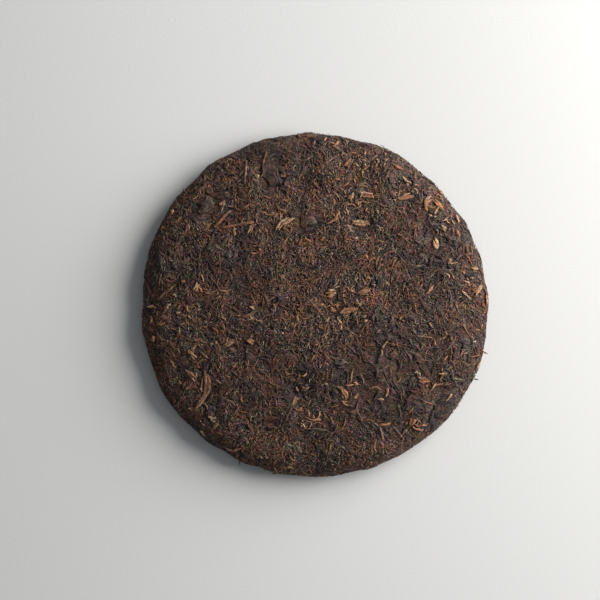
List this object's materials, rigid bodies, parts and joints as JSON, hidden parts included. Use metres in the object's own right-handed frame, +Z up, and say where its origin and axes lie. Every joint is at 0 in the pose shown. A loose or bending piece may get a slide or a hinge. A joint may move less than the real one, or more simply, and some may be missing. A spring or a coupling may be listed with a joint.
{
  "type": "pu erh tea cake",
  "caption": "Round, slightly domed cake of pressed dark tea leaf with golden buds; it stands flat and has the shallow hollow of the bag's knot under its middle.",
  "frame": {"origin": "under the middle of the cake, at the level of the surface it stands on", "axes": "+Z up through the domed face; -Y towards the lower edge of the picture and +X towards its right edge"},
  "size_m": [0.1942, 0.1936, 0.0247],
  "materials": {
    "pressed_leaf": "dark grey-brown pressed tea leaf, dull with a faint dry sheen, ridged and fibrous",
    "golden_bud": "matt tan to orange-brown leaf buds with fine down",
    "leaf_stem": "dull reddish-brown stems and stalks with lengthwise ridges"
  },
  "bodies": {
    "root": {"tea_cake": "pressed_leaf"}
  },
  "joints": []
}
